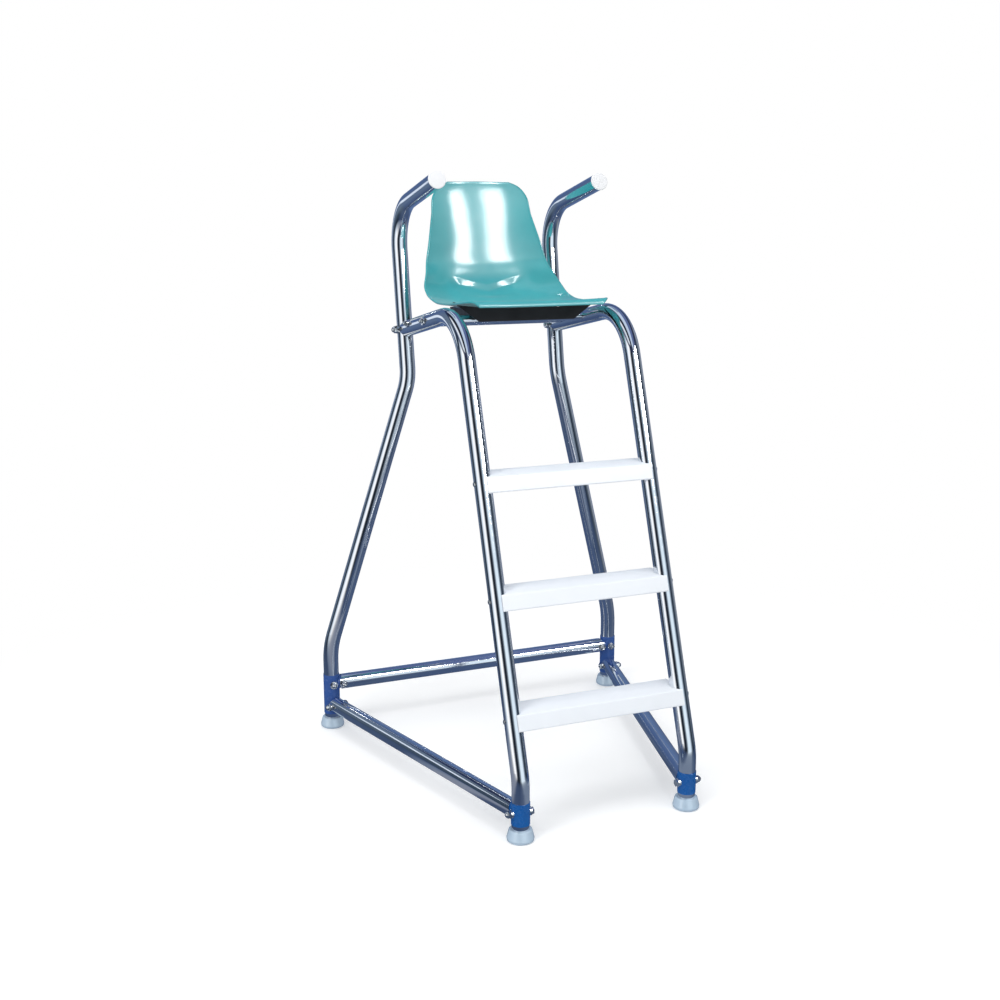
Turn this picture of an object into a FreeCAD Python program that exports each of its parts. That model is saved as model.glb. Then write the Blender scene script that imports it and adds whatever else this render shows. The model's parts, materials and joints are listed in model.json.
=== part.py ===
"""Lifeguard chair: bent tube frame, three moulded treads and a bucket seat.

Frame of reference: +Z up, the climber faces +Y, the floor is Z = 0 and X = 0 is the
plane of symmetry. The origin lies on the floor at the centre of the four feet.
Sizes are millimetres.
"""
import FreeCAD, Part
import Sketcher
import math
import os
from FreeCAD import Placement, Rotation, Vector

doc = FreeCAD.newDocument("lifeguard_chair")

# Driving dimensions

SIZES = [
    # the tube that every leg, rail and brace is cut from
    ("tube_od", 48.3),
    ("tube_wall", 2.0),
    ("fit_gap", 0.3),
    # front rails
    ("rail_spacing", 506),
    ("rail_bend_height", 165),
    ("rail_rake", 19.2),
    ("arm_front_height", 1366),
    ("arm_drop", 10.4),
    ("rail_foot_radius", 150),
    ("rail_top_radius", 165),
    # rear uprights
    ("rear_spread", 1000),
    ("rear_leg_depth", 960),
    ("leg_bend_height", 268),
    ("post_bend_depth", 872),
    ("post_bend_height", 1128),
    ("post_lean", 9.2),
    ("grip_corner_height", 1636),
    ("grip_length", 366),
    ("grip_rise", 12.8),
    ("leg_foot_radius", 300),
    ("post_radius", 180),
    ("grip_radius", 130),
    # low braces
    ("side_tube_height", 78),
    ("cross_tube_height", 146),
    # joint hardware
    ("bolt_dia", 10),
    ("bolt_head_flats", 19),
    ("bolt_head_height", 7),
    ("washer_dia", 24),
    ("washer_height", 4),
    ("insert_length", 36),
    ("sleeve_length", 62),
    ("sleeve_wall", 1.2),
    ("neck_length", 6),
    ("pin_margin", 9.85),
    ("tongue_dia", 18),
    ("nut_height", 6),
    # foot tips and grip plugs
    ("foot_flare", 6),
    ("foot_wall", 7.05),
    ("foot_height", 33),
    ("foot_base", 9),
    ("plug_lip", 2.1),
    ("plug_head", 5),
    ("plug_depth", 30),
    # treads
    ("tread_first_height", 337),
    ("tread_spacing", 300),
    ("tread_end_inset", 3),
    ("tread_depth", 98),
    ("tread_height", 42),
    ("tread_lead", 29),
    ("tread_wall", 4),
    ("tread_end_block", 26),
    ("tread_crown", 3),
    ("tread_bolt_dia", 8),
    ("tread_bolt_length", 65),
    ("tread_bolt_head", 12),
    # seat and what carries it
    ("seat_wall", 5),
    ("seat_half_width", 241),
    ("seat_pan_level", -7),
    ("seat_boss_dia", 36),
    ("seat_boss_drop", 7),
    ("seat_bar_od", 25.4),
    ("seat_bar_wall", 2.0),
    ("front_bar_back", 240),
    ("front_bar_drop", 44),
    ("rear_bar_back", 385),
    ("rear_bar_drop", 62),
    ("riser_offset", 110),
    ("riser_width", 40),
    ("riser_plate", 3),
    ("apron_back", 125),
    ("apron_bottom", 42),
    ("apron_bottom_width", 300),
    ("riser_back", 410),
    ("pad_height", 4),
    ("front_hole_back", 190),
    ("rear_hole_back", 330),
]

sheet = doc.addObject("Spreadsheet::Sheet", "Sizes")
for row, (alias, value) in enumerate(SIZES, start=1):
    sheet.set("A%d" % row, alias)
    sheet.set("B%d" % row, str(value))
    sheet.setAlias("B%d" % row, alias)
doc.recompute()


def size(alias):
    """Value of one driving dimension."""
    return float(getattr(sheet, alias))


def tangent(degrees):
    return math.tan(math.radians(degrees))


# Shared places, worked out from the driving dimensions

TUBE_R = size("tube_od") / 2
GAP = size("fit_gap")
RAIL_X = size("rail_spacing") / 2
REAR_X = size("rear_spread") / 2
FRONT_Y = -size("rear_leg_depth") / 2
REAR_Y = size("rear_leg_depth") / 2
LEG_BOTTOM = size("foot_base") + GAP
RAKE = tangent(size("rail_rake"))
ARM_SLOPE = tangent(size("arm_drop"))
ARM_CORNER_Y = FRONT_Y + (size("arm_front_height") - size("rail_bend_height")) * RAKE
POST_SLOPE = tangent(size("post_lean"))
POST_BEND_Y = FRONT_Y + size("post_bend_depth")
SIDES = (("left", -1), ("right", 1))


def rail_y(height):
    """Depth of the raked rail's axis at a height above its foot bend."""
    return FRONT_Y + (height - size("rail_bend_height")) * RAKE


def post_y(height):
    """Depth of the post's axis at a height above its lower bend."""
    return POST_BEND_Y + (height - size("post_bend_height")) * POST_SLOPE


def arm_height(depth):
    """Height of the arm's axis at a depth behind the rail's top corner."""
    return size("arm_front_height") - (depth - ARM_CORNER_Y) * ARM_SLOPE


def arm_end():
    """Where the arm's axis crosses the post's axis, as depth and height."""
    lean = POST_BEND_Y - size("post_bend_height") * POST_SLOPE
    rise = size("arm_front_height") + ARM_CORNER_Y * ARM_SLOPE
    depth = (lean + rise * POST_SLOPE) / (1 + ARM_SLOPE * POST_SLOPE)
    return depth, arm_height(depth)


ARM_END_Y, ARM_END_Z = arm_end()


def seat_point(across, back, up):
    """A place given from the corner where rail and arm axes meet, on the middle plane."""
    return Vector(across, ARM_CORNER_Y + back, size("arm_front_height") + up)


# General helpers

def towards(start, end):
    """Rotation that turns +Z to the direction from start to end."""
    return Rotation(Vector(0, 0, 1), end - start)


def cylinder(name, radius, start, end):
    """A cylinder along start to end; radius is an expression on the sheet."""
    item = doc.addObject("Part::Cylinder", name)
    item.setExpression("Radius", radius)
    item.Height = (end - start).Length
    item.Placement = Placement(start, towards(start, end))
    return item


def cut(name, base, tool):
    item = doc.addObject("Part::Cut", name)
    item.Base = base
    item.Tool = tool
    return item


def cut_all(name, base, tools):
    """The base with every tool taken away; the last result carries the name."""
    last = len(tools) - 1
    for index, tool in enumerate(tools):
        base = cut(name if index == last else "%s_cut_%d" % (name, index), base, tool)
    return base


def copy_at(name, master, placement):
    item = doc.addObject("Part::Feature", name)
    item.Shape = master.Shape.copy()
    item.Placement = placement
    return item


def group(name, items):
    item = doc.addObject("Part::Compound", name)
    item.Links = items
    return item


def bent_wire(corners, radii):
    """Straight runs through the corners, each inner corner rounded by a tangent arc."""
    edges = []
    start = corners[0]
    for index, radius in enumerate(radii, start=1):
        corner = corners[index]
        before = (corner - corners[index - 1]).normalize()
        after = (corners[index + 1] - corner).normalize()
        half_turn = before.getAngle(after) / 2
        reach = radius * math.tan(half_turn)
        inward = (after - before).normalize()
        centre = corner + inward * (radius / math.cos(half_turn))
        arc_start = corner - before * reach
        arc_end = corner + after * reach
        edges.append(Part.LineSegment(start, arc_start).toShape())
        edges.append(Part.Arc(arc_start, centre - inward * radius, arc_end).toShape())
        start = arc_end
    edges.append(Part.LineSegment(start, corners[-1]).toShape())
    return Part.Wire(edges)


def bent_tube(name, corners, radii):
    """A hollow tube along a bent path that starts straight up."""
    spine = doc.addObject("Part::Feature", name + "_path")
    spine.Shape = bent_wire(corners, radii)
    edges = ["Edge%d" % (number + 1) for number in range(len(spine.Shape.Edges))]
    skins = []
    for part, radius in (("outside", "Sizes.tube_od / 2"),
                         ("bore", "Sizes.tube_od / 2 - Sizes.tube_wall")):
        ring = doc.addObject("Part::Circle", "%s_%s_ring" % (name, part))
        ring.setExpression("Radius", radius)
        ring.Placement = Placement(corners[0], Rotation())
        skin = doc.addObject("Part::Sweep", "%s_%s" % (name, part))
        skin.Sections = [ring]
        skin.Spine = (spine, edges)
        skin.Solid = True
        skin.Frenet = False
        skins.append(skin)
    return cut(name + "_tube", skins[0], skins[1])


def straight_tube(name, start, end, diameter="Sizes.tube_od", wall="Sizes.tube_wall"):
    outside = cylinder(name + "_outside", "%s / 2" % diameter, start, end)
    bore = cylinder(name + "_bore", "%s / 2 - %s" % (diameter, wall), start, end)
    return cut(name + "_tube", outside, bore)


# Sketch helpers: every corner of an outline is held by two distances from the sketch's origin

def evaluate(text):
    """Number that an expression on the sheet stands for."""
    return float(sheet.evalExpression(text.replace("Sizes.", "")))


def new_sketch(body, name, plane, offset=None):
    sketch = body.newObject("Sketcher::SketchObject", name)
    origin = [item for item in body.Origin.OriginFeatures if item.Role == plane][0]
    sketch.AttachmentSupport = [(origin, "")]
    sketch.MapMode = "FlatFace"
    if offset is not None:
        sketch.AttachmentOffset = offset
    return sketch


def hold(sketch, kind, geometry, point, text):
    """Fix one coordinate of a point by an expression."""
    number = sketch.addConstraint(
        Sketcher.Constraint(kind, -1, 1, geometry, point, evaluate(text)))
    sketch.setExpression("Constraints[%d]" % number, text)


def outline(sketch, corners):
    """Closed run of straight lines through corners, each given as two expressions."""
    places = [Vector(evaluate(across), evaluate(up), 0) for across, up in corners]
    first = sketch.GeometryCount
    count = len(places)
    for index, place in enumerate(places):
        sketch.addGeometry(Part.LineSegment(place, places[(index + 1) % count]), False)
    for index in range(count):
        following = first + (index + 1) % count
        sketch.addConstraint(
            Sketcher.Constraint("Coincident", first + index, 2, following, 1))
    for index, (across, up) in enumerate(corners):
        hold(sketch, "DistanceX", first + index, 1, across)
        hold(sketch, "DistanceY", first + index, 1, up)


def circle(sketch, across, up, radius):
    place = Vector(evaluate(across), evaluate(up), 0)
    number = sketch.addGeometry(Part.Circle(place, Vector(0, 0, 1), evaluate(radius)), False)
    hold(sketch, "DistanceX", number, 3, across)
    hold(sketch, "DistanceY", number, 3, up)
    bound = sketch.addConstraint(Sketcher.Constraint("Radius", number, evaluate(radius)))
    sketch.setExpression("Constraints[%d]" % bound, radius)


def revolved(body, name, corners):
    """A ring of revolution about Z from an outline in the XZ plane."""
    sketch = new_sketch(body, name + "_profile", "XZ_Plane")
    outline(sketch, corners)
    feature = body.newObject("PartDesign::Revolution", name)
    feature.Profile = sketch
    feature.ReferenceAxis = (sketch, ["V_Axis"])
    feature.Angle = 360
    return feature


def padded(body, name, sketch, length, midplane=False):
    feature = body.newObject("PartDesign::Pad", name)
    feature.Profile = sketch
    feature.setExpression("Length", length)
    feature.Midplane = midplane
    return feature


# Joints between tubes: the joining tube is coped on the passing one and slides over a stub

BEYOND_SLEEVE = "Sizes.fit_gap + Sizes.sleeve_wall + Sizes.fit_gap"
STUB = "Sizes.tube_od / 2 - Sizes.tube_wall - Sizes.fit_gap"
PIN_REACH = TUBE_R + size("pin_margin")
PIN_HOLE = "Sizes.bolt_dia / 2 + Sizes.fit_gap"


def saddle_washer(name, middle, outward, face, around, hole):
    """Round washer hollowed to sit on a tube; its flat side is at the distance face."""
    blank = cylinder(name, "Sizes.washer_dia / 2", middle, middle + outward * face)
    return cut_all(name + "_finished", blank, [around, hole])


class BarJoint:
    """End of a seat bar on an arm: a bolt from the arm's far side into a threaded insert."""

    def __init__(self, name, centre, inward, passing):
        self.name = name
        self.centre = centre
        self.inward = inward.normalize()
        self.cope = cylinder(name + "_cope", "Sizes.tube_od / 2 + Sizes.fit_gap", *passing)
        self.face = TUBE_R + GAP + size("washer_height")
        self.reach = TUBE_R + size("insert_length")
        self.hole = cylinder(name + "_hole", "Sizes.tread_bolt_dia / 2 + Sizes.fit_gap",
                             centre - self.inward * (self.face + 1),
                             centre + self.inward * (self.reach + 1))

    def insert(self):
        blank = cylinder(self.name + "_insert_blank",
                         "Sizes.seat_bar_od / 2 - Sizes.seat_bar_wall - Sizes.fit_gap",
                         self.centre, self.centre + self.inward * self.reach)
        return cut_all(self.name + "_insert", blank, [self.cope, self.hole])

    def washer(self):
        return saddle_washer(self.name + "_washer", self.centre, self.inward * -1, self.face,
                             self.cope, self.hole)

    def bolt_at(self, master):
        place = self.centre - self.inward * self.face
        return copy_at(self.name + "_bolt", master,
                       Placement(place, towards(Vector(0, 0, 0), self.inward)))


class Pin:
    """A bolt straight through a tube, its head outward, with washers and a nut."""

    def __init__(self, name, middle, outward, tube, skin="Sizes.fit_gap"):
        self.name = name
        self.middle = middle
        self.outward = outward.normalize()
        self.around = cylinder(name + "_around", "Sizes.tube_od / 2 + " + skin, *tube)
        self.inside = cylinder(name + "_inside",
                               "Sizes.tube_od / 2 - Sizes.fit_gap / 2 + " + skin, *tube)
        self.face = TUBE_R + evaluate(skin) + size("washer_height")
        end = self.outward * (self.face + size("nut_height") * 2)
        self.hole = cylinder(name + "_hole", PIN_HOLE, middle - end, middle + end)

    def washers(self):
        return [saddle_washer("%s_%s_washer" % (self.name, where), self.middle, way, self.face,
                              self.around, self.hole)
                for where, way in (("head", self.outward), ("nut", self.outward * -1))]

    def room(self):
        """Tool that clears the washers' places outside the tube."""
        end = self.outward * (self.face + 1)
        blank = cylinder(self.name + "_room_blank", "Sizes.washer_dia / 2 + Sizes.fit_gap",
                         self.middle - end, self.middle + end)
        return cut(self.name + "_room", blank, self.inside)

    def bolt_at(self, master):
        return copy_at(self.name + "_bolt", master,
                       Placement(self.middle + self.outward * self.face,
                                 towards(self.outward, Vector(0, 0, 0))))

    def nut(self):
        return hex_nut(self.name + "_nut", self.middle - self.outward * self.face,
                       self.outward * -1, "Sizes.bolt_head_flats", "Sizes.nut_height",
                       self.hole)


def hex_nut(name, seat, away, flats, height, bore):
    """Hexagon nut on a seat, bored by a tool that lies along its axis."""
    blank = doc.addObject("Part::Prism", name + "_blank")
    blank.Polygon = 6
    blank.setExpression("Circumradius", flats + " / sqrt(3)")
    blank.setExpression("Height", height)
    blank.Placement = Placement(seat, towards(Vector(0, 0, 0), away))
    return cut(name, blank, bore)


def domed_bolt(name, shank, flats, head, length, dome_share=0.9):
    """Hexagon head with a low dome; the shank points up from the head's seat at Z = 0."""
    body = doc.addObject("PartDesign::Body", name)
    hexagon = new_sketch(body, name + "_hexagon", "XY_Plane")
    across = "%s / sqrt(3)" % flats
    corners = []
    for step in range(6):
        angle = 60 * step
        corners.append(("%s * cos(%d deg)" % (across, angle),
                        "%s * sin(%d deg)" % (across, angle)))
    outline(hexagon, corners)
    head_pad = padded(body, name + "_head", hexagon, head)
    head_pad.Reversed = True
    round_shank = new_sketch(body, name + "_round", "XY_Plane")
    circle(round_shank, "0", "0", "%s / 2" % shank)
    padded(body, name + "_shank", round_shank, length)
    dome = new_sketch(body, name + "_dome_profile", "XZ_Plane")
    radius = "%s * 0.46" % flats
    outline(dome, [("0", "-(%s)" % head), (radius, "-(%s)" % head),
                   ("(%s) * 0.87" % radius,
                    "-(%s) - (%s) * %s" % (head, radius, dome_share * 0.5)),
                   ("(%s) * 0.5" % radius,
                    "-(%s) - (%s) * %s" % (head, radius, dome_share * 0.87)),
                   ("0", "-(%s) - (%s) * %s" % (head, radius, dome_share))])
    feature = body.newObject("PartDesign::Revolution", name + "_dome")
    feature.Profile = dome
    feature.ReferenceAxis = (dome, ["V_Axis"])
    feature.Angle = 360
    return body


joint_bolt = domed_bolt(
    "joint_bolt_master", "Sizes.bolt_dia", "Sizes.bolt_head_flats", "Sizes.bolt_head_height",
    "Sizes.tube_od + 2 * (%s + Sizes.washer_height) + Sizes.nut_height"
    % BEYOND_SLEEVE)
bar_bolt = domed_bolt(
    "bar_bolt_master", "Sizes.tread_bolt_dia", "Sizes.tread_bolt_head",
    "Sizes.bolt_head_height * 0.7",
    "Sizes.tube_od + Sizes.washer_height + Sizes.insert_length * 0.7")
tread_bolt = domed_bolt(
    "tread_bolt_master", "Sizes.tread_bolt_dia", "Sizes.tread_bolt_head",
    "Sizes.bolt_head_height * 0.2", "Sizes.tread_bolt_length", dome_share=0.35)
doc.recompute()

UP = Vector(0, 0, 1)

SIDE_Z = size("side_tube_height")
CROSS_Z = size("cross_tube_height")
ARM_DIRECTION = Vector(0, 1, -ARM_SLOPE).normalize()
POST_DIRECTION = Vector(0, POST_SLOPE, 1).normalize()
REACH = size("tube_od") * 2

nodes = {}
bolts = []
washers = []
inserts = []
nuts = []


def keep(name, item):
    """Name a finished sub-part."""
    item.Label = name
    nodes[name] = item
    return item


def pinned(pin):
    """Add the hardware of one pin; the result is the tool that drills its hole."""
    washers.extend(pin.washers())
    bolts.append(pin.bolt_at(joint_bolt))
    nuts.append(pin.nut())
    return pin.hole


def stub(name, start, along):
    """Round stub from a passing tube's axis into the end of a joining tube."""
    return cylinder(name, STUB, start, start + along * (TUBE_R + size("insert_length")))


# Tube frame

SEAT_BARS = (
    ("front", size("front_bar_back"), size("front_bar_drop")),
    ("rear", size("rear_bar_back"), size("rear_bar_drop")),
)
bar_copes = {"front": [], "rear": []}
cross_tools = []
tread_heights = [size("tread_first_height") + step * size("tread_spacing") for step in range(3)]
TREAD_MIDDLE = size("tread_height") / 2

for side, sign in SIDES:
    outward = Vector(sign, 0, 0)
    front = Vector(sign * RAIL_X, FRONT_Y, SIDE_Z)
    rear = Vector(sign * REAR_X, REAR_Y, SIDE_Z)
    crossing = Vector(sign * REAR_X, REAR_Y, CROSS_Z)
    arm = Vector(sign * RAIL_X, ARM_END_Y, ARM_END_Z)
    along = (rear - front).normalize()
    beside = Vector(along.y, -along.x, 0) * sign
    post = (arm - POST_DIRECTION * REACH, arm + POST_DIRECTION * REACH)

    front_pin = Pin("front_pin_" + side, front, outward,
                    (front - UP * REACH, front + UP * REACH), skin=BEYOND_SLEEVE)
    side_pin = Pin("side_pin_" + side, rear - along * PIN_REACH, beside, (front, rear))
    cross_pin = Pin("cross_pin_" + side, crossing - outward * PIN_REACH,
                    Vector(0, -1, 0), (crossing - outward * REACH, crossing))
    rear_pin = Pin("rear_pin_" + side, crossing, Vector(0, -1, 0),
                   (crossing - UP * REACH, crossing + UP * REACH), skin=BEYOND_SLEEVE)
    arm_pin = Pin("arm_pin_" + side, arm, outward, post)
    for pin in (front_pin, side_pin, cross_pin, rear_pin, arm_pin):
        pinned(pin)

    arm_cope = cylinder("arm_cope_" + side,
                        "Sizes.tube_od / 2 + Sizes.neck_length + Sizes.fit_gap", *post)
    plug = cut("arm_plug_coped_" + side, stub("arm_plug_" + side, arm, ARM_DIRECTION * -1),
               arm_pin.around)
    tongue_back = arm + ARM_DIRECTION * (size("tongue_dia") * 0.6)
    tongue_front = arm - ARM_DIRECTION * (TUBE_R + size("tongue_dia") / 2)
    tongue = cylinder("arm_tongue_" + side, "Sizes.tongue_dia / 2", tongue_back, tongue_front)
    tongue_hole = cylinder("arm_tongue_hole_" + side, "Sizes.tongue_dia / 2 + Sizes.fit_gap",
                           arm, tongue_front)
    insert = doc.addObject("Part::Fuse", "arm_insert_" + side)
    insert.Base = plug
    insert.Tool = tongue
    inserts.append(cut_all("arm_insert_finished_" + side, insert,
                           [arm_pin.hole, arm_pin.room()]))

    rail_holes = [front_pin.hole]
    for bar, back, drop in SEAT_BARS:
        place = seat_point(sign * RAIL_X, back, -drop)
        on_arm = Vector(sign * RAIL_X, place.y, arm_height(place.y))
        joint = BarJoint("%s_bar_%s" % (bar, side), place, outward * -1,
                         (on_arm - ARM_DIRECTION * REACH, on_arm + ARM_DIRECTION * REACH))
        inserts.append(joint.insert())
        washers.append(joint.washer())
        bolts.append(joint.bolt_at(bar_bolt))
        bar_copes[bar].append(joint.cope)
        rail_holes.append(joint.hole)
    for number, height in enumerate(tread_heights):
        level = height - TREAD_MIDDLE
        middle = Vector(sign * RAIL_X, rail_y(level), level)
        across = Vector(REACH, 0, 0)
        rail_holes.append(cylinder("tread_hole_%s_%d" % (side, number),
                                   "Sizes.tread_bolt_dia / 2 + Sizes.fit_gap",
                                   middle - across, middle + across))

    rail = bent_tube("front_rail_" + side,
                     [Vector(sign * RAIL_X, FRONT_Y, LEG_BOTTOM),
                      Vector(sign * RAIL_X, FRONT_Y, size("rail_bend_height")),
                      Vector(sign * RAIL_X, ARM_CORNER_Y, size("arm_front_height")),
                      arm],
                     [size("rail_foot_radius"), size("rail_top_radius")])
    keep("front_rail_" + side,
         cut_all("front_rail_%s_finished" % side, rail, [arm_cope] + rail_holes))

    grip_corner = Vector(sign * RAIL_X, post_y(size("grip_corner_height")),
                         size("grip_corner_height"))
    rise = math.radians(size("grip_rise"))
    grip_direction = Vector(0, -math.cos(rise), math.sin(rise))
    grip_end = grip_corner + grip_direction * size("grip_length")
    upright = bent_tube("rear_upright_" + side,
                        [Vector(sign * REAR_X, REAR_Y, LEG_BOTTOM),
                         Vector(sign * REAR_X, REAR_Y, size("leg_bend_height")),
                         Vector(sign * RAIL_X, POST_BEND_Y, size("post_bend_height")),
                         grip_corner,
                         grip_end],
                        [size("leg_foot_radius"), size("post_radius"), size("grip_radius")])
    keep("rear_upright_" + side,
         cut_all("rear_upright_%s_finished" % side, upright,
                 [rear_pin.hole, arm_pin.hole, tongue_hole]))

    legs = {}
    for where, middle in (("front", front), ("rear", rear)):
        legs[where] = cylinder("side_cope_%s_%s" % (where, side),
                               "Sizes.tube_od / 2 + Sizes.neck_length + " + BEYOND_SLEEVE,
                               middle - UP * REACH, middle + UP * REACH)
    brace = straight_tube("side_tube_" + side, front, rear)
    keep("side_tube_" + side,
         cut_all("side_tube_%s_finished" % side, brace,
                 [legs["front"], legs["rear"], side_pin.hole]))
    cross_tools.extend([legs["rear"], cross_pin.hole])

    half = UP * (size("sleeve_length") / 2)
    sleeves = (
        ("front", front - half, front + half, [stub("front_stub_" + side, front, along)],
         [front_pin.hole, front_pin.room()]),
        ("rear", rear - half, crossing + half,
         [stub("rear_stub_" + side, rear, along * -1),
          stub("cross_stub_" + side, crossing, outward * -1)],
         [side_pin.hole, cross_pin.hole, rear_pin.hole, rear_pin.room()]),
    )
    for where, low, high, stubs, holes in sleeves:
        name = "leg_sleeve_%s_%s" % (where, side)
        skin = cylinder(name + "_outside", "Sizes.tube_od / 2 + Sizes.fit_gap + Sizes.sleeve_wall",
                        low, high)
        tee = doc.addObject("Part::MultiFuse", name + "_tee")
        tee.Shapes = [skin] + stubs
        bore = cylinder(name + "_bore", "Sizes.tube_od / 2 + Sizes.fit_gap", low, high)
        keep(name, cut_all(name + "_finished", tee, [bore] + holes))

cross = straight_tube("rear_cross_tube", Vector(-REAR_X, REAR_Y, CROSS_Z),
                      Vector(REAR_X, REAR_Y, CROSS_Z))
keep("rear_cross_tube", cut_all("rear_cross_tube_finished", cross, cross_tools))

for bar, back, drop in SEAT_BARS:
    tube = straight_tube("seat_bar_" + bar, seat_point(-RAIL_X, back, -drop),
                         seat_point(RAIL_X, back, -drop),
                         "Sizes.seat_bar_od", "Sizes.seat_bar_wall")
    keep("seat_bar_" + bar, cut_all("seat_bar_%s_finished" % bar, tube, bar_copes[bar]))


# Foot tips: flared caps that the legs stand in

FEET = (
    ("front_left", Vector(-RAIL_X, FRONT_Y, 0)),
    ("front_right", Vector(RAIL_X, FRONT_Y, 0)),
    ("rear_left", Vector(-REAR_X, REAR_Y, 0)),
    ("rear_right", Vector(REAR_X, REAR_Y, 0)),
)

FOOT_SOCKET = "Sizes.tube_od / 2 + Sizes.fit_gap"
FOOT_TOP = FOOT_SOCKET + " + Sizes.foot_wall"
FOOT_RADIUS = FOOT_TOP + " + Sizes.foot_flare"

for name, place in FEET:
    body = doc.addObject("PartDesign::Body", "foot_tip_" + name)
    revolved(body, "foot_tip_%s_turned" % name,
             [("0", "0"),
              (FOOT_RADIUS + " - 5", "0"),
              (FOOT_RADIUS + " - 1.4", "2.4"),
              (FOOT_RADIUS, "Sizes.foot_height * 0.27"),
              (FOOT_TOP, "Sizes.foot_height - 1.5"),
              (FOOT_TOP + " - 1.5", "Sizes.foot_height"),
              (FOOT_SOCKET, "Sizes.foot_height"),
              (FOOT_SOCKET, "Sizes.foot_base"),
              ("0", "Sizes.foot_base")])
    body.Placement = Placement(place, Rotation())
    keep("foot_tip_" + name, body)


# Grip plugs: round heads that close the grips

PLUG_RADIUS = "Sizes.tube_od / 2 + Sizes.plug_lip"

for side, sign in SIDES:
    body = doc.addObject("PartDesign::Body", "grip_plug_" + side)
    revolved(body, "grip_plug_%s_turned" % side,
             [("0", "-Sizes.plug_depth"),
              (STUB, "-Sizes.plug_depth"),
              (STUB, "Sizes.fit_gap"),
              (PLUG_RADIUS + " - 1", "Sizes.fit_gap"),
              (PLUG_RADIUS, "Sizes.fit_gap + 1"),
              (PLUG_RADIUS, "Sizes.plug_head - 1.5"),
              (PLUG_RADIUS + " - 1.5", "Sizes.plug_head"),
              ("0", "Sizes.plug_head + 1")])
    place = Vector(sign * RAIL_X, grip_end.y, grip_end.z)
    body.Placement = Placement(place, towards(Vector(0, 0, 0), grip_direction))
    keep("grip_plug_" + side, body)


# Treads: crowned plastic boards, open and ribbed below, notched at both ends for the rails

TREAD_CELLS = 6
TREAD_LENGTH = "(Sizes.rail_spacing - 2 * Sizes.tread_end_inset)"


def tread_body(name):
    """One tread about the point where the rails' axes cross its top."""
    body = doc.addObject("PartDesign::Body", name + "_moulding")
    section = new_sketch(body, name + "_section", "YZ_Plane")
    front, back = "-Sizes.tread_lead", "Sizes.tread_depth - Sizes.tread_lead"
    low = "-Sizes.tread_height"
    lean = " - Sizes.tread_height * tan(Sizes.rail_rake * 1 deg)"
    places = [(back, "0"), (back + lean, low), (front + lean, low), (front, "0")]
    points = [Vector(evaluate(across), evaluate(up), 0) for across, up in places]
    for index in range(3):
        section.addGeometry(Part.LineSegment(points[index], points[index + 1]), False)
    crown = Vector((points[0].x + points[3].x) / 2, size("tread_crown"), 0)
    section.addGeometry(Part.Arc(points[0], crown, points[3]), False)
    for index in range(2):
        section.addConstraint(Sketcher.Constraint("Coincident", index, 2, index + 1, 1))
    section.addConstraint(Sketcher.Constraint("Coincident", 2, 2, 3, 2))
    section.addConstraint(Sketcher.Constraint("Coincident", 0, 1, 3, 1))
    for index, (across, up) in enumerate(places[:3]):
        hold(section, "DistanceX", index, 1, across)
        hold(section, "DistanceY", index, 1, up)
    hold(section, "DistanceX", 2, 2, front)
    hold(section, "DistanceY", 2, 2, "0")
    rounding = "(Sizes.tread_depth ^ 2 / 4 + Sizes.tread_crown ^ 2) / (2 * Sizes.tread_crown)"
    bound = section.addConstraint(Sketcher.Constraint("Radius", 3, evaluate(rounding)))
    section.setExpression("Constraints[%d]" % bound, rounding)
    board = padded(body, name + "_board", section, TREAD_LENGTH, midplane=True)
    doc.recompute()
    long_edges = ["Edge%d" % (number + 1) for number, edge in enumerate(board.Shape.Edges)
                  if edge.BoundBox.XLength > evaluate(TREAD_LENGTH) * 0.9]
    rounded = body.newObject("PartDesign::Fillet", name + "_rounded")
    rounded.Base = (board, long_edges)
    rounded.Radius = size("tread_wall") * 0.8
    wall = "Sizes.tread_wall"
    room = "(%s - 2 * Sizes.tread_end_block)" % TREAD_LENGTH
    pitch = "(%s + %s) / %d" % (room, wall, TREAD_CELLS)
    start = size("tread_end_block") - evaluate(TREAD_LENGTH) / 2
    cell = new_sketch(body, name + "_cell", "YZ_Plane",
                      Placement(Vector(0, 0, start), Rotation()))
    top_lean = " - %s * tan(Sizes.rail_rake * 1 deg)" % wall
    near = "%s - Sizes.tread_lead" % wall
    far = "Sizes.tread_depth - Sizes.tread_lead - %s" % wall
    outline(cell, [(near + top_lean, "-" + wall), (far + top_lean, "-" + wall),
                   (far + lean, low), (near + lean, low)])
    hollow = body.newObject("PartDesign::Pocket", name + "_hollow")
    hollow.Profile = cell
    hollow.setExpression("Length", "%s - %s" % (pitch, wall))
    hollow.Reversed = True
    doc.recompute()
    row = body.newObject("PartDesign::LinearPattern", name + "_cells")
    row.Originals = [hollow]
    row.Direction = (cell, ["N_Axis"])
    row.Mode = "Extent"
    row.setExpression("Length", "%s * %d" % (pitch, TREAD_CELLS - 1))
    row.Occurrences = TREAD_CELLS
    body.Tip = row
    return body


def notched_tread(name):
    """The moulding with rail notches and bolt holes, still about its own origin."""
    tools = []
    run = Vector(0, tangent(size("rail_rake")), 1)
    for side, sign in SIDES:
        axis = Vector(sign * RAIL_X, 0, 0)
        tools.append(cylinder("%s_notch_%s" % (name, side), "Sizes.tube_od / 2 + Sizes.fit_gap",
                              axis - run * REACH, axis + run * REACH))
        level = Vector(sign * RAIL_X, 0, 0) - run * TREAD_MIDDLE
        inside = Vector(-sign * (TUBE_R + size("tread_end_block")), 0, 0)
        tools.append(cylinder("%s_bolt_hole_%s" % (name, side),
                              "Sizes.tread_bolt_dia / 2 + Sizes.fit_gap", level, level + inside))
    return cut_all(name + "_finished", tread_body(name), tools)


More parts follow.
